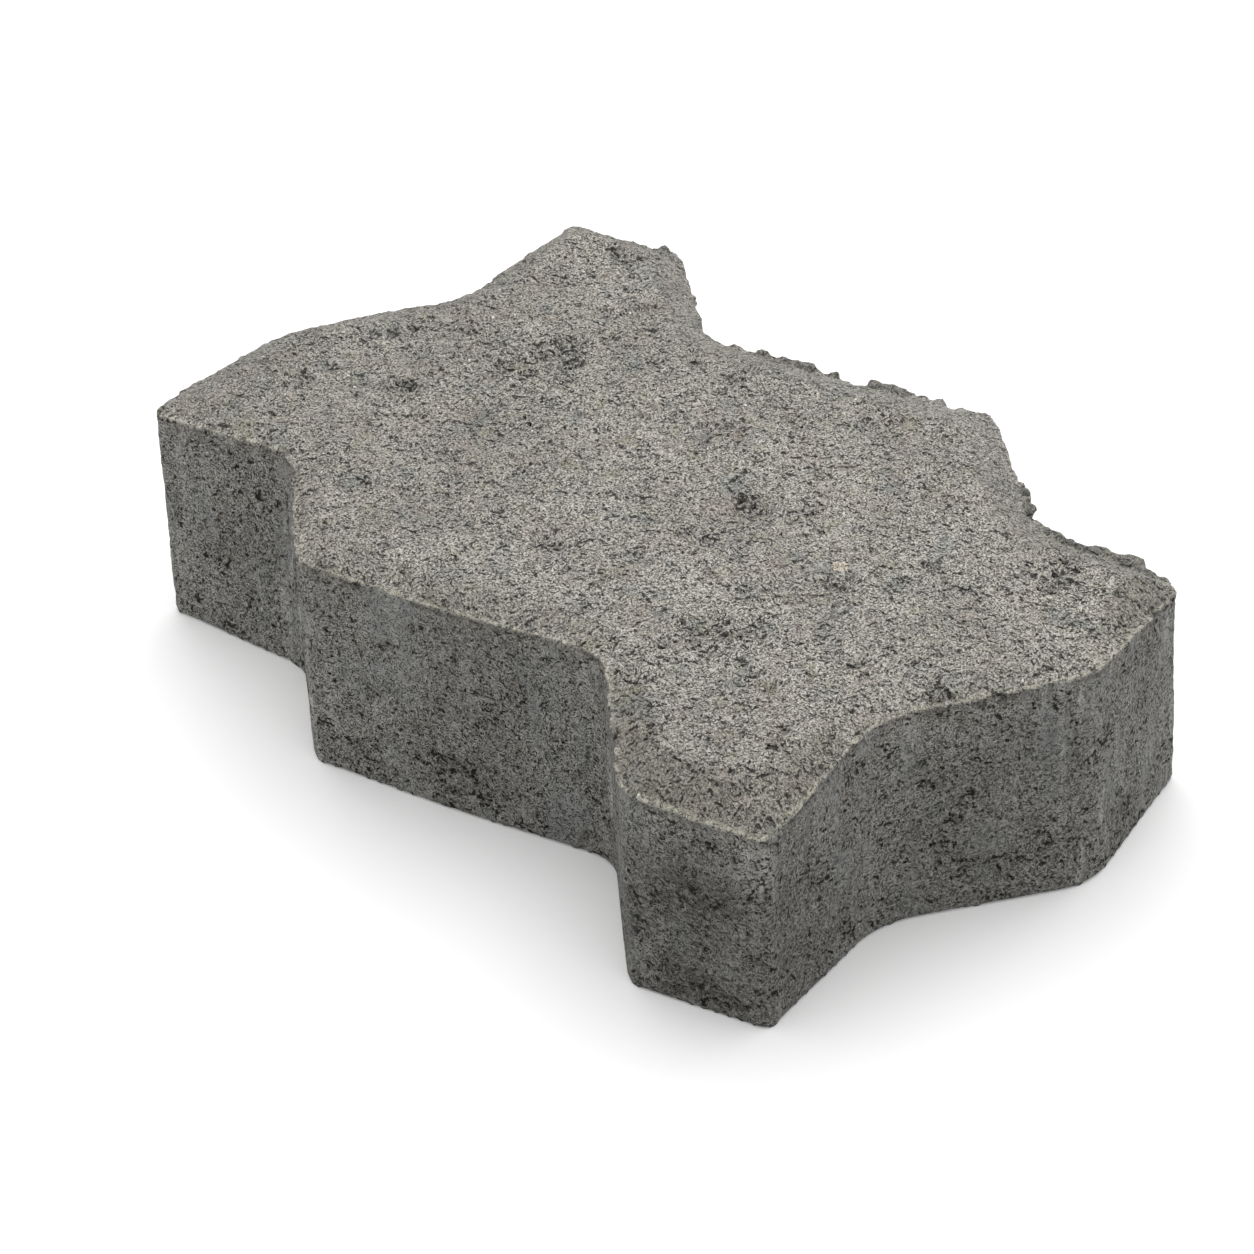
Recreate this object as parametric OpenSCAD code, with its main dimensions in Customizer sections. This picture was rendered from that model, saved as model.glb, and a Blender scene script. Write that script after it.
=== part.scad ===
// Sixteen-faced interlocking concrete paving stone.
// A pressed block whose four sides zig-zag about a plain rectangle, so that it locks with its neighbours.
// The origin is the middle of the bed face. X runs along the stone, Y across it and Z up to the worn face.

/* [Block] */
// Length from corner tip to corner tip
tip_length = 205; // [160:1:260]
// Width from corner tip to corner tip
tip_width = 123; // [96:1:160]
// Thickness from bed face to worn face
thickness = 60; // [40:1:100]

/* [Zig-zag sides] */
// Run from a tip to the nearest corner of a long side, measured along the side
side_tip_run = 34; // [26:0.5:40]
// Run of each steep flank of a long side, measured along the side
side_flank = 33; // [24:0.5:42]
// How far the outer crest and trough of a long side stand off the line between its tips
side_outer_offset = 11; // [6:0.5:14]
// How far the inner crest and trough of a long side stand off that line
side_inner_offset = 13; // [6:0.5:16]
// How far the crest and trough of an end stand off the line between its tips
end_offset = 11; // [5:0.5:12]
// Run of the middle flank of an end, measured along the end
end_flank = 42; // [34:0.5:50]

/* [Corner rounding] */
// Radius of the four corner tips
tip_radius = 3; // [1:0.5:6]
// Radius of the crests of the long sides
side_crest_radius = 6; // [2:0.5:12]
// Radius of the troughs of the long sides
side_trough_radius = 12; // [4:0.5:18]
// Radius of the crests of the ends
end_crest_radius = 18; // [4:0.5:24]
// Radius of the troughs of the ends
end_trough_radius = 24; // [4:0.5:30]

/* [Top edge] */
// Width of the chamfer round the worn face, seen from above
chamfer_width = 6.5; // [2:0.5:8]
// Depth of the chamfer, measured down the side
chamfer_depth = 3; // [1:0.5:5]
// Least radius left at a corner of the worn face, inside the chamfer
worn_corner_radius = 1; // [0.5:0.5:3]

/* [Hidden] */
concrete = [0.56, 0.55, 0.53];
// Flats that make up the rounding of one corner
corner_flats = 8;
// How far the skin runs on past the bed face and the worn face before it is trimmed
overcut = 1;

// Where the corners of a long side and of an end stand, from the middle
outer_x = tip_length / 2 - side_tip_run;
inner_x = outer_x - side_flank;
end_y = end_flank / 2;

// Corners of one long side and one end, going anticlockwise from a tip: [x, y, radius, is it a crest]
half_outline = [
    [-tip_length / 2, -tip_width / 2, tip_radius, true],
    [-outer_x, -tip_width / 2 + side_outer_offset, side_trough_radius, false],
    [-inner_x, -tip_width / 2 - side_inner_offset, side_crest_radius, true],
    [inner_x, -tip_width / 2 + side_inner_offset, side_trough_radius, false],
    [outer_x, -tip_width / 2 - side_outer_offset, side_crest_radius, true],
    [tip_length / 2, -tip_width / 2, tip_radius, true],
    [tip_length / 2 - end_offset, -end_y, end_trough_radius, false],
    [tip_length / 2 + end_offset, end_y, end_crest_radius, true],
];
// The other long side and end are the same, turned half round
corners = concat(half_outline, [for (c = half_outline) [-c.x, -c.y, c[2], c[3]]]);
count = len(corners);

function corner(i) = corners[(i + count) % count];
function point(i) = [corner(i).x, corner(i).y];
// A crest bulges outward, which is 1, and a trough inward, which is -1
function bulge(i) = corner(i)[3] ? 1 : -1;
function along(i) = let (run = point(i + 1) - point(i)) run / norm(run);
function outward(i) = [along(i).y, -along(i).x];
// Direction in which corner i points out of the stone
function corner_way(i) = let (both = outward(i - 1) + outward(i)) both / norm(both);
// Angle that the outline turns through at corner i, always positive
function turn(i) = acos(along(i - 1) * along(i));

// Radius of corner i on the outline that lies inset inside the walls
function inset_radius(i, inset) = bulge(i) > 0
    ? max(corner(i)[2] - inset, worn_corner_radius)
    : corner(i)[2] + inset;

// Points of corner i, rounded, on that outline
function corner_points(i, inset) =
    let (
        radius = inset_radius(i, inset),
        first_way = atan2(outward(i - 1).y, outward(i - 1).x),
        to_centre = (inset + bulge(i) * radius) / cos(turn(i) / 2),
        centre = point(i) - to_centre * corner_way(i)
    )
    [
        for (step = [0:corner_flats])
        let (way = first_way + bulge(i) * turn(i) * step / corner_flats)
        centre + bulge(i) * radius * [cos(way), sin(way)]
    ];

// The whole outline at one height, anticlockwise from above
function ring(inset, height) = [
    for (i = [0:count - 1])
    for (p = corner_points(i, inset)) [p.x, p.y, height]
];

ring_points = count * (corner_flats + 1);

// Four-sided faces of the band between ring k and the next one up
function band(k) = [
    for (j = [0:ring_points - 1])
    let (next = (j + 1) % ring_points)
    [
        k * ring_points + j,
        (k + 1) * ring_points + j,
        (k + 1) * ring_points + next,
        k * ring_points + next,
    ]
];

// Upright walls and chamfer as one closed skin. It ends in a shallow cone at the bottom and at the top,
// because every point of the outline is in plain sight of the middle.
module block_skin() {
    rings = concat(
        ring(0, -overcut),
        ring(0, thickness - chamfer_depth),
        ring(chamfer_width, thickness),
        ring(chamfer_width, thickness + overcut)
    );
    bottom = len(rings);
    top = bottom + 1;
    last_ring = bottom - ring_points;
    under = [for (j = [0:ring_points - 1]) [bottom, j, (j + 1) % ring_points]];
    over = [for (j = [0:ring_points - 1]) [top, last_ring + (j + 1) % ring_points, last_ring + j]];
    polyhedron(
        points = concat(rings, [[0, 0, -2 * overcut], [0, 0, thickness + 2 * overcut]]),
        faces = concat(under, band(0), band(1), band(2), over)
    );
}

// The skin trimmed flat at the bed face and at the worn face
module paving_stone() {
    color(concrete)
        intersection() {
            block_skin();
            translate([-tip_length, -tip_width, 0])
                cube([2 * tip_length, 2 * tip_width, thickness]);
        }
}

paving_stone();
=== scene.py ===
# %% [markdown]
# # A pressed concrete paving stone
#
# This stone locks with its neighbours through sixteen zig-zag faces. It is pressed from one stiff, sandy
# mix in a steel mould, so the lesson has a single piece and spends its effort on the skin. The shape comes
# first: a sound block, then what pressing, stripping and handling do to it. The finish follows.
#
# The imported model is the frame. It gives the true outline and height, and everything here is measured
# from it.

# %% Load the frame
import math
import random

import bmesh
import bpy
import numpy as np
from mathutils import Matrix, Vector, noise
from mathutils.kdtree import KDTree


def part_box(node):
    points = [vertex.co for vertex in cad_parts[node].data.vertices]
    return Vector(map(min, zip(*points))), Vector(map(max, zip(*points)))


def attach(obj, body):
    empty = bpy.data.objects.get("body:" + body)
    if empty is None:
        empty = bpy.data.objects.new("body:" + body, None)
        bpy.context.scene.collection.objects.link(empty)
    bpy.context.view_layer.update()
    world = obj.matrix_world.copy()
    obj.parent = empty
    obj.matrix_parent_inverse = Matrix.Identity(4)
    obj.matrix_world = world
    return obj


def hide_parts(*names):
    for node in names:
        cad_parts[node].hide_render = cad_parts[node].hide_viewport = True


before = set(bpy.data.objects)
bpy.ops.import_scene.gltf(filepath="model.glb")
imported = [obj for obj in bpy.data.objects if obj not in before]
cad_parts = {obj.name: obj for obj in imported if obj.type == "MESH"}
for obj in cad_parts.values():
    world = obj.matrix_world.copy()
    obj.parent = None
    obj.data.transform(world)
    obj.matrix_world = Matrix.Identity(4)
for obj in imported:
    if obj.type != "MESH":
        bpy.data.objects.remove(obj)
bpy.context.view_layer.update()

MM = 0.001
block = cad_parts["paving_stone"]
low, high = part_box("paving_stone")
thickness = high.z - low.z
print("block, mm:", [round(side / MM, 1) for side in high - low])

# %% [markdown]
# ## The outline
#
# Wear follows the edge of the stone, so the script needs to know how far any point lies from the walls and
# which way the nearest wall faces. The bed face holds the whole outline. Merging the loose triangles of a
# copy and dissolving the flat ones leaves that face as one polygon, and its corners are read in order.

# %% Read the outline and the height of the arris
def clean_copy():
    """The block as a bmesh, with its points merged and its flat triangles joined."""
    mesh = bmesh.new()
    mesh.from_mesh(block.data)
    bmesh.ops.remove_doubles(mesh, verts=mesh.verts, dist=0.001 * MM)
    bmesh.ops.dissolve_limit(mesh, angle_limit=math.radians(0.5), verts=mesh.verts, edges=mesh.edges)
    return mesh


plain = clean_copy()
bed_face = min(plain.faces, key=lambda face: face.calc_center_median().z)
outline = np.array([loop.vert.co.xy[:] for loop in bed_face.loops])[::-1]
levels = sorted({round(vert.co.z / MM, 2) for vert in plain.verts})
arris_z = levels[1] * MM
plain.free()

steps = np.roll(outline, -1, axis=0) - outline
lengths = np.linalg.norm(steps, axis=1)
outward = np.stack([steps[:, 1], -steps[:, 0]], axis=1) / lengths[:, None]
print("outline points:", len(outline), " perimeter, mm:", round(lengths.sum() / MM))
print("arris height, mm:", round(arris_z / MM, 1))

# %% [markdown]
# ## Its sixteen corners
#
# Each corner is rounded, so it is a run of short outline steps between two long straight walls. Where the
# lines of two neighbouring walls cross is the sharp corner that the rounding took away. Counting starts at
# the tip nearest the low corner of the box and goes anticlockwise, so that wear can be given corner by
# corner.

# %% Find the corners
STRAIGHT_WALL = 8 * MM
walls = [k for k in range(len(outline)) if lengths[k] > STRAIGHT_WALL]


def crossing(first, second):
    """Where the lines of two straight walls cross."""
    sides = np.stack([steps[first], -steps[second]], axis=1)
    share = np.linalg.solve(sides, outline[second] - outline[first])
    return outline[first] + share[0] * steps[first]


corners = np.array([crossing(walls[k - 1], walls[k]) for k in range(len(walls))])
first_tip = np.argmin(np.linalg.norm(corners - np.array(low.xy), axis=1))
corners = np.roll(corners, -first_tip, axis=0)
print("corners:", len(corners), " first, mm:", np.round(corners[0] / MM, 1))


# %% Measure from the outline
def follow_outline(spots):
    """For each (x, y): the nearest point of the outline, the way out there, and the distance inside it."""
    gap = np.full(len(spots), np.inf)
    foot = np.zeros_like(spots)
    way = np.zeros_like(spots)
    for start, step, length, out in zip(outline, steps, lengths, outward):
        share = np.clip((spots - start) @ step / length**2, 0, 1)
        near = start + share[:, None] * step
        reach = np.linalg.norm(spots - near, axis=1)
        closer = reach < gap
        gap[closer] = reach[closer]
        foot[closer] = near[closer]
        way[closer] = out
    side = np.where(((foot - spots) * way).sum(axis=1) >= 0, 1, -1)
    return foot, way, gap * side


def far_edge(x):
    """The point of the outline on the +Y side at this x, and the way out there."""
    spots = np.linspace((x, 0), (x, high.y), 200)
    foot, way, inside = follow_outline(spots)
    last = np.nonzero(inside > 0)[0][-1]
    return spots[last], way[last]


# %% [markdown]
# ## Burr crumbs
#
# When the tamper head drops, a little mix squeezes out over the lip of the mould and stays as crumbs along
# one edge. They could be painted or displaced, but they overhang, so real lumps are better: rough little
# icospheres sunk halfway into the edge. The remesh in the next step fuses them with the block.

# %% Make the crumbs
# Where crumbs cling along the +Y edge: from x to x in mm, their radius in mm, and how far out they sit,
# in radii
CRUMB_RUNS = [
    (-83, -79, 2.0, -0.2), (-76, -71, 2.1, -0.2), (-29, -25, 2.0, -0.1), (-24, -16, 1.9, 0.1),
    (-14, -8, 2.1, 0.2), (-7, -3.5, 2.0, 0.0), (5, 10.5, 2.2, 0.2), (12, 16, 2.0, 0.1), (17, 23, 2.2, 0.2),
    (27, 32.5, 2.2, -0.1), (54.5, 57, 2.0, 0.0), (58, 65, 1.9, -0.1), (66.5, 68.5, 2.1, 0.3),
    (69.5, 75, 2.3, 0.5), (76.5, 81.5, 2.0, 0.3), (82.5, 90.5, 3.3, 0.6), (91.5, 95, 2.3, 0.4),
    (96, 98.5, 2.0, 0.1),
]
CRUMB_ROUGHNESS = 0.30
CRUMB_FLATNESS = 0.75
CRUMB_SPACING = 1.2
chance = random.Random(7)


def add_crumb(mesh, centre, radius):
    """One rough lump, slightly flattened."""
    lump = bmesh.ops.create_icosphere(mesh, subdivisions=2, radius=radius)["verts"]
    seed = Vector((chance.uniform(0, 50), chance.uniform(0, 50), chance.uniform(0, 50)))
    for vert in lump:
        vert.co *= 1 + CRUMB_ROUGHNESS * noise.noise(vert.co / (0.9 * radius) + seed)
    bmesh.ops.scale(mesh, vec=(1, 1, CRUMB_FLATNESS), verts=lump)
    bmesh.ops.translate(mesh, vec=centre, verts=lump)


def add_crumbs(mesh):
    count = 0
    for start, stop, radius, reach in CRUMB_RUNS:
        x = start
        while x < stop:
            size = radius * chance.uniform(0.8, 1.1) * MM
            spot, way = far_edge(x * MM)
            spot = spot + way * size * (reach + chance.uniform(-0.2, 0.2))
            rise = chance.uniform(-0.6, 0.2) * size
            add_crumb(mesh, (*spot, arris_z + rise), size)
            x += CRUMB_SPACING * size / MM
            count += 1
    print("burr crumbs:", count)


# %% [markdown]
# ## A fine, even skin
#
# Chips, pits and drag marks need points to move. A subdivided box would give long thin faces on the walls, so
# the block is voxel remeshed: every face becomes a small square of one size, and the crumbs grow into it.

# %% Remesh the block
VOXEL = 1.0 * MM


def remeshed(mesh, name):
    """The bmesh as an object whose Remesh modifier has been applied."""
    rough = bpy.data.meshes.new(name)
    mesh.to_mesh(rough)
    mesh.free()
    piece = bpy.data.objects.new(name, rough)
    bpy.context.scene.collection.objects.link(piece)
    grid = piece.modifiers.new("skin", "REMESH")
    grid.mode = "VOXEL"
    grid.voxel_size = VOXEL
    grid.use_smooth_shade = True
    depsgraph = bpy.context.evaluated_depsgraph_get()
    skin = bpy.data.meshes.new_from_object(piece.evaluated_get(depsgraph), depsgraph=depsgraph)
    piece.modifiers.clear()
    piece.data = skin
    bpy.data.meshes.remove(rough)
    skin.name = name
    return piece


blank = clean_copy()
bmesh.ops.triangulate(blank, faces=blank.faces)
add_crumbs(blank)
stone = remeshed(blank, "paving_stone_skin")
print("skin points:", len(stone.data.vertices), " faces:", len(stone.data.polygons))

# %% [markdown]
# ## Points where they count
#
# The arris is the most detailed part of the stone and the bed is never seen, yet the remesh gave both the
# same squares. So the band along the arris is subdivided once, and the inside of the bed becomes a few big
# faces.

# %% Share the points out
# The band along the arris: how far it goes up and down, in from the outline, and out past it
BAND_HEIGHT = 2.0 * MM
BAND_IN = 2.6 * MM
BAND_OUT = 2 * MM
BED_RIM = 5 * MM


def share_points():
    mesh = bmesh.new()
    mesh.from_mesh(stone.data)
    spots = np.array([vert.co[:] for vert in mesh.verts])
    inside = follow_outline(spots[:, :2])[2]
    near_arris = (abs(spots[:, 2] - arris_z) < BAND_HEIGHT) & (inside < BAND_IN) & (inside > -BAND_OUT)
    deep_bed = (spots[:, 2] < 0.3 * VOXEL) & (inside > BED_RIM)
    band = [edge for edge in mesh.edges if all(near_arris[vert.index] for vert in edge.verts)]
    inner_bed = [face for face in mesh.faces if all(deep_bed[vert.index] for vert in face.verts)]
    bmesh.ops.subdivide_edges(mesh, edges=band, cuts=1, use_grid_fill=True)
    bmesh.ops.delete(mesh, geom=inner_bed, context="FACES")
    rim = [edge for edge in mesh.edges if edge.is_boundary]
    bmesh.ops.triangle_fill(mesh, edges=rim, use_beauty=True, normal=(0, 0, -1))
    bmesh.ops.triangulate(mesh, faces=[face for face in mesh.faces if len(face.verts) > 4])
    for face in mesh.faces:
        face.smooth = any(vert.co.z > 0.3 * VOXEL for vert in face.verts)
    mesh.to_mesh(stone.data)
    triangles = sum(len(face.verts) - 2 for face in mesh.faces)
    open_edges = sum(not edge.is_manifold for edge in mesh.edges)
    mesh.free()
    print("skin points:", len(stone.data.vertices), " triangles:", triangles, " open edges:", open_edges)


share_points()

# %% [markdown]
# ## Reading and moving many points
#
# About a hundred thousand points are moved many times. Numpy arrays hold them all at once, and each layer
# of wear is a share or a distance for every point, made from noise, fades and bells.

# %% Helpers for the skin
def read_points():
    flat = np.empty(3 * len(stone.data.vertices), np.float32)
    stone.data.vertices.foreach_get("co", flat)
    return flat.reshape(-1, 3).astype(float)


def read_normals():
    stone.data.update()
    flat = np.empty(3 * len(stone.data.vertices), np.float32)
    stone.data.vertices.foreach_get("normal", flat)
    return flat.reshape(-1, 3).astype(float)


def write_points(points):
    stone.data.vertices.foreach_set("co", points.astype(np.float32).ravel())
    stone.data.update()


def grain(points, size, octaves=3, seed=0):
    """Smooth noise, about -1 to 1, whose bumps are about `size` millimetres across."""
    shift = Vector((seed * 7.3, seed * 3.1, seed * 5.7))
    scaled = (points / (size * MM)).tolist()
    return np.array([noise.fractal(Vector(p) + shift, 1.0, 2.0, octaves) for p in scaled])


def fade(value, start, stop):
    """0 up to start, 1 from stop on, and smooth between. It also runs backwards."""
    share = np.clip((value - start) / (stop - start), 0, 1)
    return share * share * (3 - 2 * share)


def bell(spots, centre, width):
    """1 at the centre, and less and less away from it."""
    return np.exp(-((spots - centre) ** 2).sum(axis=1) / (2 * width**2))


points = read_points()
foot, way, inside = follow_outline(points[:, :2])
height = points[:, 2].copy()
on_top = fade(height, arris_z - 0.8 * MM, arris_z + 0.2 * MM)
print("points on the worn face:", int(on_top.sum()))

# %% [markdown]
# ## The pressed edge
#
# A voxel remesh leaves small steps along every sharp edge. Each point knows how far inside the outline it
# is, so it can be set back on the true section: wall, arris, and the slope up to the face. Here the slope
# also gets its worn shape. Where a corner was rammed hard the arris is lower, and the slope longer and
# deeper.

# %% Set the edge back on its section
# Corner: how much its arris rises, then how far its head and its foot drift in plan, all in mm
CORNER_WEAR = {
    0: (1.1, (-1.4, -1.5), (-3.2, -0.9)),
    1: (1.1, (1.0, 0.8), (3.2, -2.8)),
    2: (0.6, (-0.4, 0.4), (-1.5, 1.3)),
    3: (1.3, (0.8, 0.6), (1.0, 1.0)),
    4: (-3.0, (0.0, 0.0), (0.3, 0.3)),
    5: (-3.2, (-1.4, -0.3), (-2.4, 1.0)),
    6: (0.8, (0.2, 0.2), (0.0, 0.0)),
    7: (1.6, (0.2, 0.2), (1.0, 1.0)),
    8: (-3.4, (-0.8, -0.8), (-1.0, 1.8)),
    9: (-0.7, (0.0, 0.0), (0.0, 0.0)),
    10: (1.8, (-1.3, -1.4), (-1.0, -1.0)),
    11: (1.2, (-0.2, -0.2), (0.0, 0.0)),
    12: (-1.2, (-1.1, -1.2), (0.0, 0.0)),
    13: (-2.8, (1.5, 1.7), (1.0, 1.0)),
    14: (-0.8, (0.4, 0.5), (0.4, 0.5)),
    15: (-2.0, (1.4, 1.5), (1.2, 1.2)),
}
CORNER_REACH = 17 * MM
SLOPE_WIDTH = 8.0 * MM
SLOPE_CURVE = 1.7
CHAMFER_WIDTH = 6.5 * MM
BED_ROUNDING = 0.8 * MM


def corner_pull(spots, corner):
    """1 at this corner, and less and less away from it."""
    return bell(spots, corners[corner], CORNER_REACH)


rise = sum(wear[0] * MM * corner_pull(foot, k) for k, wear in CORNER_WEAR.items())
arris_here = arris_z + rise
slope_width = SLOPE_WIDTH + np.maximum(-rise, 0)
up_slope = np.clip(inside / slope_width, 0, 1)
slope_height = arris_here + (high.z - arris_here) * (1 - (1 - up_slope) ** SLOPE_CURVE)
cad_slope = arris_z + (high.z - arris_z) * np.clip(inside / CHAMFER_WIDTH, 0, 1)
off_wall = np.hypot(inside, np.maximum(height - arris_z, 0))
off_slope = np.hypot(height - cad_slope, np.maximum(-inside, 0))
is_wall = (off_wall < off_slope) & (height < arris_z + 0.3 * VOXEL)
is_bed = (height < 0.6 * VOXEL) & (inside > 0.3 * VOXEL)
is_slope = ~is_wall & ~is_bed
off_section = np.where(is_wall, off_wall, np.where(is_bed, 0, off_slope))
hold = np.maximum(fade(off_section, 1.1 * MM, 0.7 * MM), fade(height, 30 * MM, 10 * MM))
wall_shift = height * (arris_here / arris_z - 1)
slope_shift = slope_height - cad_slope
shift = np.where(is_slope, slope_shift, np.where(is_wall, wall_shift, 0))
snap = np.where(is_slope, cad_slope - height, 0)
tuck = np.where(is_wall, inside - BED_ROUNDING * (1 - fade(height, 0, BED_ROUNDING)), 0)
points[:, 2] += shift + hold * snap
points[:, :2] += way * (hold * tuck)[:, None]
points[is_bed, 2] = low.z
slope_points = int((is_slope & (inside < slope_width)).sum())
print("points set back on the wall:", int(is_wall.sum()), " on the slope:", slope_points)

# %% [markdown]
# ## Corners out of place
#
# Demoulding and handling shift the corners: the heads up to about two millimetres, the feet up to about
# four, and not the same way. A lattice could bend the block, but a bell-shaped pull at each corner is
# simpler and can be told in numbers.

# %% Shift the corners
climb = fade(height, 0.0, arris_z)
for k, (_, head, heel) in CORNER_WEAR.items():
    drift = np.outer(climb, head) + np.outer(1 - climb, heel)
    points[:, :2] += corner_pull(foot, k)[:, None] * drift * MM
write_points(points)

# %% [markdown]
# ## Open patches
#
# Where the mix was dry, the skin did not close and coarse crumbs show with gaps between them. A few soft
# discs say where on the worn face, and noise breaks up their rims. One end of the face is rougher than the
# rest, and the walls are driest low down. The filling drawer wipes across the mould from one side, so the
# slope there is rubbed smooth.

# %% Place the open patches
# Centre and radius on the worn face, in mm
OPEN_PATCHES = [
    (-55, 13, 12), (-70, -16, 4), (-88, -31, 5), (-4, 25, 6), (30, 18, 5), (20, 9, 6), (85, 40, 8),
    (0, -31, 5), (50, -26, 9), (84, -44, 6), (56, 4, 5), (-30, 40, 4), (66, 22, 4), (95, -8, 4),
]
ROUGH_END = corners[4] * 0.75
ROUGH_END_REACH = 28 * MM
DRAWER_WAY = np.array([-0.76, 0.65])
plan = points[:, :2] / MM
ragged = grain(points, 5, seed=1)
patch = np.zeros(len(points))
for x, y, radius in OPEN_PATCHES:
    reach = np.hypot(plan[:, 0] - x, plan[:, 1] - y) / radius
    patch = np.maximum(patch, fade(reach + 0.6 * ragged, 1.1, 0.3))
rough_end = bell(points[:, :2], ROUGH_END, ROUGH_END_REACH)
scatter = fade(grain(points, 9, seed=2) + 0.25 * rough_end, 0.30, 0.65)
low_down = fade(height, 0.55 * thickness, 0.05 * thickness)
wall_patch = 0.8 * fade(grain(points, 9, seed=3) + 0.30 * low_down, 0.20, 0.65)
drawer_side = fade(way @ DRAWER_WAY, -0.05, 0.1)
rubbed = on_top * drawer_side * fade(inside, 11 * MM, 6 * MM)
openness = on_top * np.maximum(patch, 0.5 * scatter) * (1 - rubbed) + (1 - on_top) * wall_patch
print("open share of the worn face:", round(float((on_top * openness).sum() / on_top.sum()), 2))

# %% [markdown]
# ## Lumps of coarse sand
#
# Voronoi cells make convincing lumps: the distance to the two nearest seeds is equal on a border, so their
# difference is a dome with a groove round it. The borders wander a little, so that the lumps are not
# honeycomb. That wander is not seeded here: noise_vector starts from the clock, so it differs in every run.

# %% Make the lumps
def lumps(points, size, seed):
    """0 in the groove between two lumps, towards 1 on top of a lump."""
    shift = Vector((seed * 4.1, seed * 9.7, seed * 2.3))
    heights = []
    for p in (points / (size * MM)).tolist():
        spot = Vector(p) + shift
        spot += 0.35 * noise.noise_vector(spot * 1.3)
        gaps = noise.voronoi(spot)[0]
        heights.append(gaps[1] - gaps[0])
    return fade(np.array(heights), 0.0, 0.5)


big = lumps(points, 7.0, seed=3)
coarse = lumps(points, 4.6, seed=1)
medium = lumps(points, 2.7, seed=2)

# %% [markdown]
# ## The pressed relief
#
# Real relief has layers: slow swells, lumps of coarse sand, and deep gaps where the skin is open. Each layer
# is added along the surface normal. The walls slid against steel, so theirs is shallow, and drawn upwards
# a little. Near the bed the relief dies out, so that edge stays straight, and the gaps are shallower near
# the upright corners.

# %% Press the relief
normals = read_normals()
swell = 0.30 * grain(points, 26, 2, seed=4)
dents = 0.22 * np.minimum(grain(points, 6, 2, seed=5), 0.1)
gaps = openness * (1.20 * (coarse - 1) + 0.50 * (medium - 1))
drawn = points * np.array([1.0, 1.0, 0.12])
drag = 0.07 * grain(drawn, 2.6, 2, seed=7) + 0.07 * grain(drawn, 9, 2, seed=8)
on_slope = fade(inside, 1.1 * slope_width, 0.7 * slope_width) * fade(rise, 2.0 * MM, -1.5 * MM)
slope_crumbs = 0.35 * on_slope * grain(points, 1.7, 2, seed=13)
knobbly = fade(grain(points, 17, 2, seed=15) + 0.4 * rough_end, -0.25, 0.25) * (1 - rubbed)
bulges = knobbly * (0.30 * (big - 1) + 0.24 * (coarse - 1))
near_corner = sum(bell(foot, spot, 6 * MM) for spot in corners)
face_relief = swell + dents + 0.18 * (medium - 0.5) + bulges + gaps + slope_crumbs
wall_relief = 0.6 * swell + dents + 0.10 * (medium - 0.5) + drag + 0.6 * gaps * (1 - 0.7 * near_corner)
relief = on_top * face_relief + (1 - on_top) * wall_relief
calm = fade(height, 0.5 * MM, 6 * MM)
points += normals * (relief * calm * MM)[:, None]
write_points(points)
print("relief, mm:", round(float(relief.min()), 2), "to", round(float(relief.max()), 2))

# %% [markdown]
# ## The arris
#
# The edge of the worn face carries a thin ragged fin where mortar crept up between tamper and mould, and it
# is nicked by handling. Following the outline, one noise makes the fin wander and a second takes small bites.

# %% Ragged arris
along_edge = np.column_stack([foot, np.zeros(len(foot))])
near_arris = np.exp(-(((height - arris_z) / (0.9 * MM)) ** 2)) * fade(inside, 1.8 * MM, 0.4 * MM)
fin = 0.35 + 0.9 * grain(along_edge, 2.4, 2, seed=9) + 1.2 * grain(along_edge, 6, 2, seed=10)
bites = fade(grain(along_edge, 5, 2, seed=11), 0.25, 0.6)
bites *= 1 - 0.7 * drawer_side
fin *= 1 - 0.7 * drawer_side
push = near_arris * (0.7 * fin - 1.2 * bites)
points[:, :2] += way * (push * MM)[:, None]
points[:, 2] += near_arris * (0.3 * fin - 0.8 * bites) * MM
write_points(points)

# %% [markdown]
# ## Small knocks
#
# Sand grains drop out of the face and the walls, and the bed edge loses chips in handling. A KD tree finds
# the points round each pit, and a bowl-shaped dip presses them in along the surface normal.

# %% Knock the chips out
def press_dips(count, weight, radii, depth_share):
    """Bowls at random points, picked where weight is high. Returns how deep each point goes."""
    tree = KDTree(len(points))
    for k, point in enumerate(points.tolist()):
        tree.insert(point, k)
    tree.balance()
    picker = np.random.default_rng(count)
    chosen = picker.choice(len(points), size=count, p=weight / weight.sum())
    sizes = picker.uniform(*radii, size=count) * MM
    dip = np.zeros(len(points))
    for spot, size in zip(chosen, sizes):
        for _, k, gap in tree.find_range(points[spot].tolist(), size):
            dip[k] = max(dip[k], depth_share * size * (1 - (gap / size) ** 2))
    return dip


normals = read_normals()
pits = press_dips(90, on_top * (0.2 + 2.5 * openness) * fade(inside, 2 * MM, 5 * MM), (1.0, 1.9), 0.6)
wall_pits = (1 - on_top) * fade(height, 3 * MM, 6 * MM) * (0.2 + 2 * openness) * (1 - 0.8 * near_corner)
pits = np.maximum(pits, press_dips(130, wall_pits, (0.8, 1.4), 0.35))
bed_edge = fade(height, 3 * MM, 1 * MM) * fade(inside, 2 * MM, 0)
pits = np.maximum(pits, press_dips(30, bed_edge, (0.8, 1.7), 0.25))
pits *= 0.75 + 0.5 * grain(points, 1.6, 2, seed=12)
points -= normals * pits[:, None]
write_points(points)
print("deepest dip, mm:", round(float(pits.max() / MM), 2))

# %% [markdown]
# ## Keep the bed flat
#
# The stone lies on its bed face. Nothing may reach below it, so low points are lifted to the floor.

# %% Flatten the bed
points[:, 2] = np.maximum(points[:, 2], low.z)
write_points(points)

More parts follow.
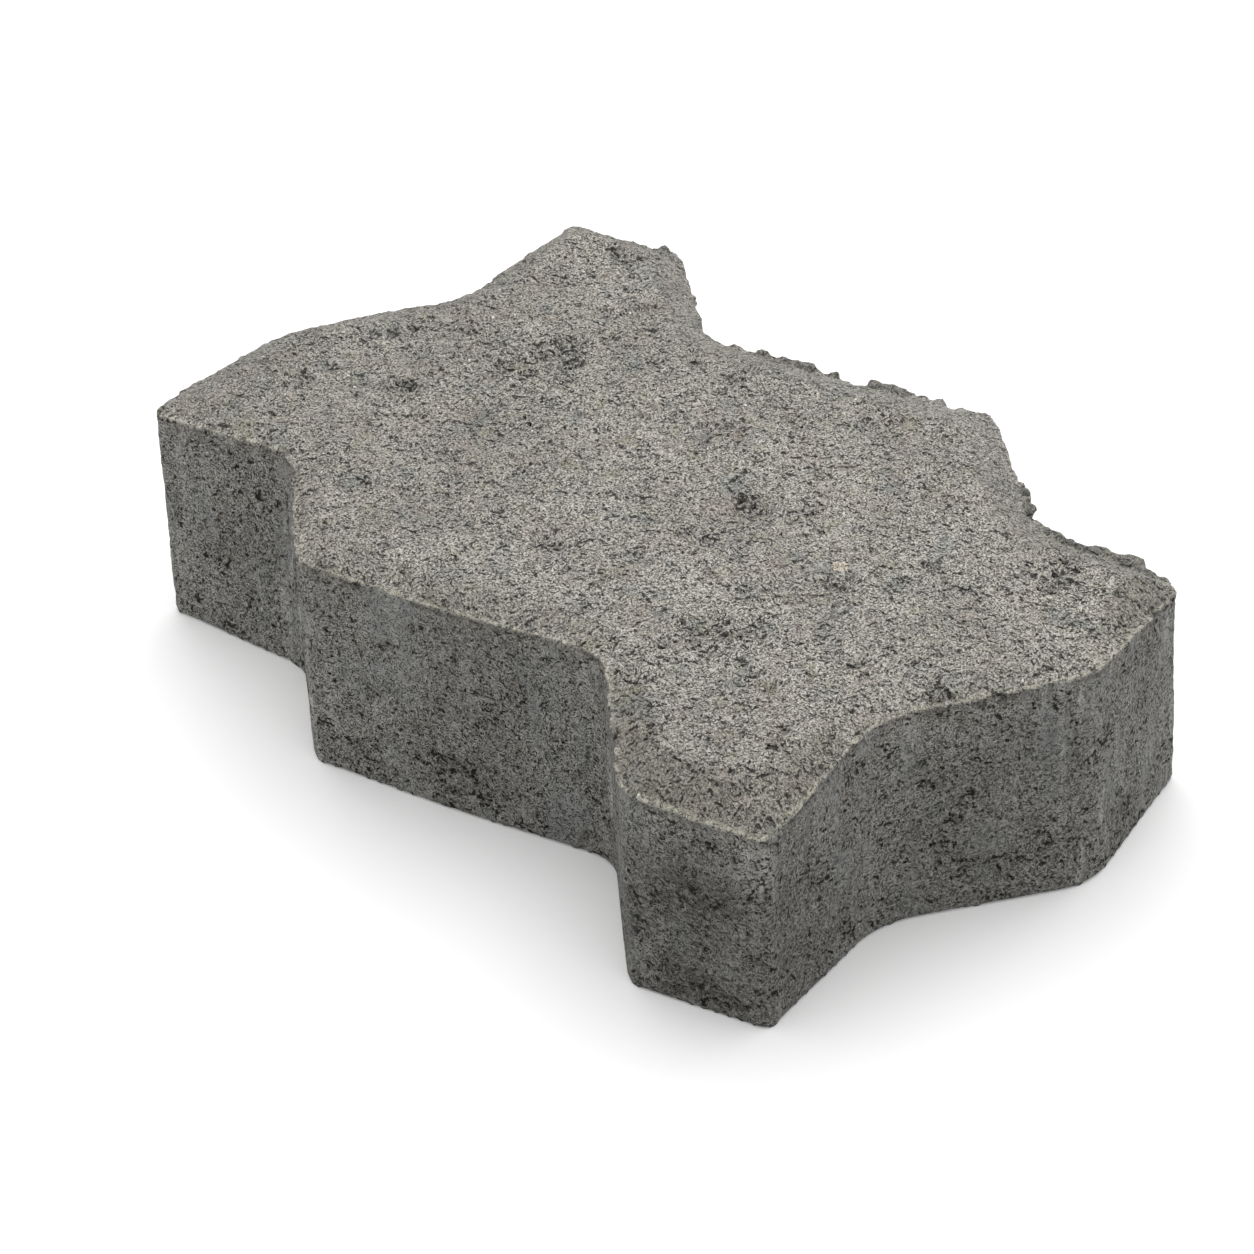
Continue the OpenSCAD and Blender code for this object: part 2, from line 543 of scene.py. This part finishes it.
# %% [markdown]
# ## Marks for the finish
#
# The material has to know which skin is worn face, which is arris and which is pit, where painted shade goes
# under the arris, in the grooves between lumps and on the slope, where the arris gets a painted highlight,
# and where damp or a stain shows. Most of those measures already exist, so they are stored on the points,
# where they stay put however the stone is turned.

# %% Store the marks
# Damp patches high on the walls: between which two corners, and how strong
DAMP_SPOTS = ((2, 3, 0.25), (4, 5, 1.0), (6, 7, 0.5))
DAMP_REACH = 20 * MM
STAIN_SPOT = corners[0] * 0.7
STAIN_REACH = 40 * MM


def store(name, values):
    layer = stone.data.attributes.new(name, "FLOAT", "POINT")
    layer.data.foreach_set("value", np.clip(values, 0, 1).astype(np.float32))


# edge_line: where the arris gets a painted highlight
edge_line = np.exp(-(((height - arris_z) / (0.5 * MM)) ** 2)) * fade(inside, 1.0 * MM, 0.2 * MM)
store("worn", fade(height, arris_z - 0.7 * MM, arris_z - 0.1 * MM))
store("edge", edge_line * (1 - 0.6 * bites) * (1 - 0.8 * drawer_side))
# A painted shadow in a line just under the arris, on the wall
under_arris_shadow = np.exp(-(((height - arris_z + 1.5 * MM) / (0.8 * MM)) ** 2)) * is_wall
store("under", under_arris_shadow * fade(fin, 0.1, 0.8) * (1 - drawer_side))
store("open", openness)
store("rubbed", rubbed)
store("crumb", (1 - hold) * fade(height, arris_z - 6 * MM, arris_z - 4 * MM))
# gap, groove and pit: painted shade in the grooves between lumps and in the pits
store("gap", openness * (1 - np.minimum(coarse, medium)))
store("groove", on_top * (0.3 + 0.7 * knobbly) * (1 - np.minimum(big, coarse)))
store("pit", pits / (0.8 * MM) * fade(height, 2 * MM, 5 * MM))
# slope: painted shade on the slope, which faces away from the lamp
store("slope", on_top * on_slope * (1 - drawer_side))
store("lip", fade(height, arris_z - 7 * MM, arris_z - 1 * MM))
store("corner", sum(bell(foot, spot, 7 * MM) for spot in corners))
damp = np.zeros(len(points))
for first, second, share in DAMP_SPOTS:
    damp_spot = (corners[first] + corners[second]) / 2
    damp = np.maximum(damp, share * bell(foot, damp_spot, DAMP_REACH))
store("damp", damp * fade(height, thickness, 0.6 * thickness) * (0.8 + 0.4 * grain(points, 12, 2, seed=14)))
store("stain", on_top * bell(points[:, :2], STAIN_SPOT, STAIN_REACH))

# %% [markdown]
# ## The concrete finish
#
# Concrete is grey cement paste round sand and small stones. A picture of it would have seams and one fixed
# sharpness, so the finish is made of noise on Object coordinates instead. A Mapping node turns metres into
# millimetres, and from there on every texture scale is one over a size in millimetres.

# %% Start the concrete material
concrete = bpy.data.materials.new("pressed_concrete")
concrete.use_nodes = True
nodes = concrete.node_tree.nodes
links = concrete.node_tree.links
nodes.clear()


def place(kind, inputs=None, **settings):
    """Add one node, set its options, then fill or link its inputs."""
    made = nodes.new("ShaderNode" + kind)
    for name, value in settings.items():
        setattr(made, name, value)
    for socket, value in (inputs or {}).items():
        if isinstance(value, bpy.types.NodeSocket):
            links.new(value, made.inputs[socket])
        else:
            made.inputs[socket].default_value = value
    return made


def math_node(operation, first, second=0.0):
    return place("Math", {0: first, 1: second}, operation=operation).outputs[0]


def mark(name):
    """One of the marks stored on the points."""
    return place("Attribute", attribute_name=name).outputs["Fac"]


def ramp(value, start, stop, low_out=0.0, high_out=1.0):
    """low_out below start, high_out above stop, smooth between."""
    sockets = {"Value": value, "From Min": start, "From Max": stop, "To Min": low_out, "To Max": high_out}
    return place("MapRange", sockets, interpolation_type="SMOOTHSTEP").outputs["Result"]


def blend(share, first, second):
    """Mix two colours."""
    made = place("Mix", data_type="RGBA")
    for socket, value in ((0, share), (6, first), (7, second)):
        if isinstance(value, bpy.types.NodeSocket):
            links.new(value, made.inputs[socket])
        else:
            made.inputs[socket].default_value = (*value, 1) if isinstance(value, tuple) else value
    return made.outputs[2]


coordinates = place("TexCoord").outputs["Object"]
to_mm = place("Mapping", {"Vector": coordinates, "Scale": (1000, 1000, 1000)}).outputs[0]


def mottle(size, detail=3.0, rough=0.5, vector=None, warp=0.0):
    """Noise from 0 to 1 with blotches of this size in millimetres."""
    sockets = {"Vector": vector or to_mm, "Scale": 1 / size, "Detail": detail, "Roughness": rough}
    sockets["Distortion"] = warp
    return place("TexNoise", sockets).outputs["Fac"]


# %% [markdown]
# ## Crumbs and their painted shade
#
# Close up, the stone is packed crumbs about a millimetre across. Each crumb gets a short stroke of painted
# shadow on its side away from the lamp, and a little painted highlight on its side towards it. Cell borders
# would look like a net, so the strokes are found another way: where a noise is much higher a little towards
# the lamp than here, a crumb shades this point. Gaps, pits, grooves and open skin make painted shade
# likelier.

# %% Crumbs and their painted shade
# Painted shadow: how far, in mm, it falls from a crumb, away from the lamp; on the walls also downwards
FACE_SHADOW_STEP = Vector((0.22, -0.28, 0.0))
WALL_SHADOW_STEP = Vector((0.14, -0.18, -0.25))
opened = mark("open")
rough_skin = math_node("SUBTRACT", 1.0, math_node("MULTIPLY", mark("rubbed"), 0.5))
shadow_step_sockets = {0: mark("worn"), 1: FACE_SHADOW_STEP - WALL_SHADOW_STEP, 2: WALL_SHADOW_STEP}
shadow_step = place("VectorMath", shadow_step_sockets, operation="MULTIPLY_ADD")
swirl = place("TexNoise", {"Vector": to_mm, "Scale": 1 / 2.6, "Detail": 0.0}).outputs["Color"]
swirl_sockets = {0: swirl, 1: (1.5, 1.5, 1.5), 2: (-0.75, -0.75, -0.75)}
swirl = place("VectorMath", swirl_sockets, operation="MULTIPLY_ADD")
shadow_step = place("VectorMath", {0: shadow_step.outputs[0], 1: swirl.outputs[0]}, operation="ADD")
toward_lamp = place("VectorMath", {0: to_mm, 1: shadow_step.outputs[0]}, operation="SUBTRACT").outputs[0]


def rise_toward_lamp(size, detail):
    """The noise here, and how much higher it is a little towards the lamp."""
    here = mottle(size, detail)
    return here, math_node("SUBTRACT", mottle(size, detail, vector=toward_lamp), here)


fine = mottle(0.48, 1.5, 0.6)
small = mottle(0.95, 2.0, 0.55)
crumbs_here, crumb_shading = rise_toward_lamp(1.05, 1.0)
lumps_here, lump_shading = rise_toward_lamp(2.5, 1.5)
crumb_share = math_node("SUBTRACT", 1.0, math_node("MULTIPLY", opened, 0.30))
lump_share = math_node("ADD", 0.9, math_node("MULTIPLY", opened, 1.0))
crumb_part = math_node("MULTIPLY", crumb_shading, crumb_share)
lump_part = math_node("MULTIPLY", lump_shading, lump_share)
painted_shading = math_node("ADD", crumb_part, lump_part)
painted_shading = math_node("ADD", painted_shading, math_node("MULTIPLY", mark("gap"), 0.07))
painted_shading = math_node("ADD", painted_shading, math_node("MULTIPLY", mark("pit"), 0.04))
painted_shading = math_node("ADD", painted_shading, math_node("MULTIPLY", opened, 0.015))
painted_shading = math_node("ADD", painted_shading, math_node("MULTIPLY", mark("groove"), 0.055))
coarse_here = mottle(8.5, 2.0)
painted_shading = math_node("ADD", painted_shading, ramp(coarse_here, 0.38, 0.62, -0.045, 0.03))
off_middle = math_node("ABSOLUTE", math_node("SUBTRACT", crumbs_here, 0.5))
winding = math_node("MULTIPLY", ramp(off_middle, 0.040, 0.016), ramp(lumps_here, 0.54, 0.46))
# Painted shadow strokes and half shade where a crumb shades the point, painted highlight on its lamp side
crevice_shade = math_node("MAXIMUM", ramp(painted_shading, 0.186, 0.212), math_node("MULTIPLY", winding, 0.45))
half_shade = ramp(painted_shading, 0.06, 0.20)
lit_side = ramp(painted_shading, 0.0, -0.13)
crumb_cells = place("TexVoronoi", {"Vector": to_mm, "Scale": 1 / 1.25})
crumb_tone = place("SeparateColor", {"Color": crumb_cells.outputs["Color"]}).outputs[0]
grit_cells = place("TexVoronoi", {"Vector": to_mm, "Scale": 1 / 2.2})
grit_pick = place("SeparateColor", {"Color": grit_cells.outputs["Color"]})
hole_size = ramp(grit_pick.outputs[2], 0.50, 1.0, 0.0, 0.20)
pinholes = math_node("LESS_THAN", grit_cells.outputs["Distance"], hole_size)
# deep: painted shade in the shadow strokes and in the pinholes
deep = math_node("MULTIPLY", math_node("MAXIMUM", crevice_shade, pinholes), rough_skin)

# %% [markdown]
# ## Colour of the worn face
#
# The base is warm grey. Broad noise shifts it, warm and green-grey tints come from two sands, and pale specks
# are quartz. The crevice strokes and the pits are painted shade, nearly black, and the side of each crumb
# towards the lamp gets a little painted highlight. The slope faces away from the lamp and is painted darker
# and browner as shade.

# %% Colour the worn face
PASTE_DARK = (0.100, 0.094, 0.083)
PASTE_MID = (0.312, 0.298, 0.266)
PASTE_PALE = (0.605, 0.580, 0.522)
# Near black, for painted shade
PAINTED_SHADE = (0.016, 0.015, 0.013)
PINK_SAND = (0.345, 0.288, 0.252)
OLIVE_SAND = (0.280, 0.272, 0.188)
WET_PASTE = (0.208, 0.231, 0.229)
SLOPE_SHADE = (0.140, 0.130, 0.104)
RUBBED_SLOPE = (0.222, 0.217, 0.198)
QUARTZ = (0.78, 0.77, 0.73)
grained = blend(ramp(fine, 0.40, 0.60), PASTE_DARK, PASTE_PALE)
face = blend(0.92, PASTE_MID, grained)
face = blend(ramp(crumb_tone, 0.0, 1.0, 0.0, 0.18), face, PASTE_PALE)
face = blend(ramp(mottle(22, 3.0), 0.38, 0.68, 0.0, 0.22), face, PASTE_DARK)
face = blend(math_node("MULTIPLY", mark("stain"), 0.20), face, PASTE_DARK)
face = blend(ramp(mottle(7, 2.0), 0.54, 0.74, 0.0, 0.35), face, PINK_SAND)
face = blend(ramp(mottle(5, 2.0, warp=0.6), 0.56, 0.76, 0.0, 0.45), face, OLIVE_SAND)
face = blend(ramp(coarse_here, 0.54, 0.74, 0.0, 0.45), face, WET_PASTE)
# Painted shade, tinted brown, on the slope, which faces away from the lamp
face = blend(math_node("MULTIPLY", mark("slope"), 0.48), face, SLOPE_SHADE)
face = blend(math_node("MULTIPLY", mark("rubbed"), 0.45), face, RUBBED_SLOPE)
speck_size = ramp(grit_cells.outputs["Distance"], 0.17, 0.10)
speck = math_node("MULTIPLY", speck_size, ramp(grit_pick.outputs[1], 0.78, 0.84))
face = blend(math_node("MULTIPLY", speck, 0.9), face, QUARTZ)
# Painted highlight on the lamp side of crumbs, then painted half shade and painted shade in strokes and
# pinholes
face = blend(math_node("MULTIPLY", lit_side, 0.15), face, PASTE_PALE)
face = blend(math_node("MULTIPLY", half_shade, 0.15), face, PAINTED_SHADE)
face = blend(math_node("MULTIPLY", deep, 0.80), face, PAINTED_SHADE)

# A pale pebble that the tamper pressed into the face: where it is, in mm
PEBBLE = (50.6, 7.8, 60.0)
PEBBLE_TONE = (0.64, 0.57, 0.46)
to_pebble = place("VectorMath", {0: to_mm, 1: PEBBLE}, operation="DISTANCE").outputs["Value"]
pebble = ramp(math_node("ADD", to_pebble, math_node("MULTIPLY", mottle(1.6, 1.0), 2.0)), 3.0, 2.7)
face = blend(math_node("MULTIPLY", pebble, 0.85), face, PEBBLE_TONE)

# %% [markdown]
# ## Colour of the walls
#
# The walls are darker and cooler. Part of that is painted shade: they face away from the lamp, so the same
# concrete gets darker tones here. Wet paste was also dragged down them against steel and dried as smooth
# patches, with open granular skin between. Squashing the coordinates along Z draws the patches out upwards.
# Pale streaks gather at the upright corners, and damp darkens a few places under the arris. Crumbs get
# painted highlight, and painted shade that is weaker where slurry dried smooth.

# %% Colour the walls
upright = place("Mapping", {"Vector": to_mm, "Scale": (1, 1, 0.22)}).outputs[0]
slurry = mottle(8.0, 3.0, 0.55, vector=upright, warp=0.5)
smooth_skin = ramp(math_node("SUBTRACT", slurry, math_node("MULTIPLY", opened, 0.2)), 0.48, 0.64)
long_upright = place("Mapping", {"Vector": to_mm, "Scale": (1, 1, 0.12)}).outputs[0]
streaks = mottle(3.4, 3.0, 0.6, vector=long_upright)
# Wall tones darker than the face tones: partly painted shade, for walls facing away from the lamp
WALL_DARK = (0.062, 0.060, 0.054)
WALL_MID = (0.160, 0.156, 0.145)
WALL_PALE = (0.352, 0.345, 0.320)
SLURRY = (0.188, 0.193, 0.188)
BROWN_SAND = (0.175, 0.149, 0.122)
LIP_TONE = (0.165, 0.146, 0.120)
DRY_STREAK = (0.400, 0.392, 0.368)
WALL_QUARTZ = (0.35, 0.34, 0.32)
# Near black, for painted shade on the walls
WALL_PAINTED_SHADE = (0.008, 0.008, 0.007)
wall = blend(ramp(fine, 0.38, 0.62), WALL_DARK, WALL_PALE)
wall = blend(0.16, wall, WALL_MID)
wall = blend(ramp(mottle(18, 3.0), 0.40, 0.66, 0.0, 0.25), wall, WALL_DARK)
wall = blend(ramp(mottle(6, 2.0), 0.55, 0.75, 0.0, 0.35), wall, BROWN_SAND)
wall = blend(math_node("MULTIPLY", mark("lip"), 0.25), wall, LIP_TONE)
wall = blend(math_node("MULTIPLY", smooth_skin, 0.72), wall, SLURRY)
pale_streaks = math_node("MULTIPLY", ramp(streaks, 0.48, 0.75), ramp(mark("corner"), 0.1, 0.9, 0.24, 0.85))
wall = blend(pale_streaks, wall, DRY_STREAK)
wall = blend(math_node("MULTIPLY", mark("damp"), 0.90), wall, WALL_DARK)
wall = blend(math_node("MULTIPLY", speck, 0.5), wall, WALL_QUARTZ)
skin_left = ramp(smooth_skin, 0.0, 1.0, 1.0, 0.45)
# Painted highlight on the lamp side of crumbs, and painted shade in strokes and pinholes, weaker on smooth
# slurry
wall = blend(math_node("MULTIPLY", lit_side, 0.25), wall, WALL_PALE)
wall_shade = math_node("MULTIPLY", math_node("MULTIPLY", half_shade, 0.40), skin_left)
wall_deep_shade = math_node("MULTIPLY", math_node("MULTIPLY", deep, 0.90), skin_left)
wall = blend(wall_shade, wall, PAINTED_SHADE)
wall = blend(wall_deep_shade, wall, WALL_PAINTED_SHADE)

# %% [markdown]
# ## Put the finish together
#
# The stored marks choose between the two skins, paint a highlight along the arris, and paint shade into the
# gaps, the pits and the line under the arris. Roughness is high all over, and a little lower where slurry
# dried smooth. Three Bump nodes are chained, from lumps to grain.

# %% Finish the concrete
# The colour of the painted highlight along the arris
ARRIS_HIGHLIGHT = (0.51, 0.49, 0.41)
colour = blend(mark("worn"), wall, face)
colour = blend(math_node("MULTIPLY", mark("crumb"), 0.35), colour, WALL_DARK)
edge = math_node("MULTIPLY", mark("edge"), ramp(mottle(1.9, 2.0), 0.40, 0.58, 0.08, 0.85))
# Painted shadow under the arris
colour = blend(math_node("MULTIPLY", mark("under"), 0.45), colour, PAINTED_SHADE)
# Painted highlight along the arris
colour = blend(edge, colour, ARRIS_HIGHLIGHT)
# Painted shade in the gaps between lumps and in the pits
colour = blend(ramp(mark("gap"), 0.40, 1.0, 0.0, 0.12), colour, PAINTED_SHADE)
colour = blend(ramp(mark("pit"), 0.25, 1.0, 0.0, 0.40), colour, PAINTED_SHADE)
roughness = ramp(smooth_skin, 0.0, 1.0, 0.95, 0.80)
lump_bump = place("Bump", {"Height": lumps_here, "Strength": 1.0, "Distance": 0.0040})
crumb_height = math_node("ADD", small, crumbs_here)
crumb_bump = place("Bump", {
    "Height": crumb_height, "Strength": 1.0, "Distance": 0.0010, "Normal": lump_bump.outputs[0],
})
grain_bump = place("Bump", {
    "Height": fine, "Strength": 1.0, "Distance": 0.0005, "Normal": crumb_bump.outputs[0],
})
skin = place("BsdfPrincipled", {
    "Base Color": colour, "Roughness": roughness, "Normal": grain_bump.outputs[0], "Specular IOR Level": 0.2,
})
place("OutputMaterial", {"Surface": skin.outputs[0]})
stone.data.materials.clear()
stone.data.materials.append(concrete)
print("material nodes:", len(nodes))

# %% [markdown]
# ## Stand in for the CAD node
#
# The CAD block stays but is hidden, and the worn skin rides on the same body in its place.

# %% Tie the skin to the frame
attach(stone, "root")
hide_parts("paving_stone")

# %% [markdown]
# ## Floor and light
#
# A pale studio floor, a pale surrounding and one large soft lamp above and behind the stone. The lamp is
# large so that shadows have no edge, and it stands behind so that the walls towards the viewer stay darker.
# The floor lies a hair below the bed, because two faces in one place would flicker.

# %% Build the studio
FLOOR_SIZE = 6.0
FLOOR_GAP = 0.1 * MM
floor_mesh = bmesh.new()
bmesh.ops.create_grid(floor_mesh, x_segments=1, y_segments=1, size=FLOOR_SIZE / 2)
bmesh.ops.translate(floor_mesh, vec=(0, 0, low.z - FLOOR_GAP), verts=floor_mesh.verts)
floor_data = bpy.data.meshes.new("studio_floor")
floor_mesh.to_mesh(floor_data)
floor_mesh.free()
floor = bpy.data.objects.new("studio_floor", floor_data)
bpy.context.scene.collection.objects.link(floor)
paper = bpy.data.materials.new("pale_paper")
paper.use_nodes = True
matt = paper.node_tree.nodes["Principled BSDF"].inputs
matt["Base Color"].default_value = (0.94, 0.94, 0.94, 1)
matt["Roughness"].default_value = 1.0
matt["Specular IOR Level"].default_value = 0.0
floor_data.materials.append(paper)

world = bpy.data.worlds.new("studio_air")
bpy.context.scene.world = world
world.use_nodes = True
air = world.node_tree.nodes["Background"].inputs
air["Color"].default_value = (1.0, 1.0, 1.0, 1)
air["Strength"].default_value = 1.0


def direction(azimuth, elevation):
    """A unit vector: azimuth 0 looks from -Y and grows towards +X, elevation is above the floor."""
    turn = math.radians(azimuth)
    lift = math.radians(elevation)
    level = math.cos(lift)
    return Vector((math.sin(turn) * level, -math.cos(turn) * level, math.sin(lift)))


LAMP_SIZE = 3.0
LAMP_POWER = 38.5
LAMP_DISTANCE = 2.4
LAMP_AZIMUTH = 215
LAMP_ELEVATION = 66
middle = (low + high) / 2
lamp_data = bpy.data.lights.new("overhead_lamp", "AREA")
lamp_data.shape = "SQUARE"
lamp_data.size = LAMP_SIZE
lamp_data.energy = LAMP_POWER
lamp = bpy.data.objects.new("overhead_lamp", lamp_data)
bpy.context.scene.collection.objects.link(lamp)
to_lamp = direction(LAMP_AZIMUTH, LAMP_ELEVATION)
lamp.location = middle + to_lamp * LAMP_DISTANCE
lamp.rotation_euler = to_lamp.to_track_quat("Z", "Y").to_euler()

# %% [markdown]
# ## Camera
#
# A long lens from about a metre away, over the near corner, so that the outline, two sides and the face
# all show.

# %% Set the camera
LENS = 122.96
CAMERA_AZIMUTH = 49.56
CAMERA_ELEVATION = 37.47
CAMERA_DISTANCE = 0.9591
CAMERA_ROLL = -2.26
AIM_SHIFT = Vector((5.11, -14.45, 0)) * MM
camera_data = bpy.data.cameras.new("camera")
camera_data.sensor_width = 36.0
camera_data.lens = LENS
camera = bpy.data.objects.new("camera", camera_data)
bpy.context.scene.collection.objects.link(camera)
aim = middle + AIM_SHIFT
back = direction(CAMERA_AZIMUTH, CAMERA_ELEVATION)
camera.location = aim + back * CAMERA_DISTANCE
tilt = Matrix.Rotation(math.radians(CAMERA_ROLL), 3, back)
camera.rotation_euler = (tilt @ back.to_track_quat("Z", "Y").to_matrix()).to_euler()
bpy.context.scene.camera = camera
bpy.context.scene.view_settings.view_transform = "Standard"

# %% [markdown]
# ## Close

# The worn skin must stay within a few per cent of the CAD box.

# %% Finish
bpy.context.view_layer.update()
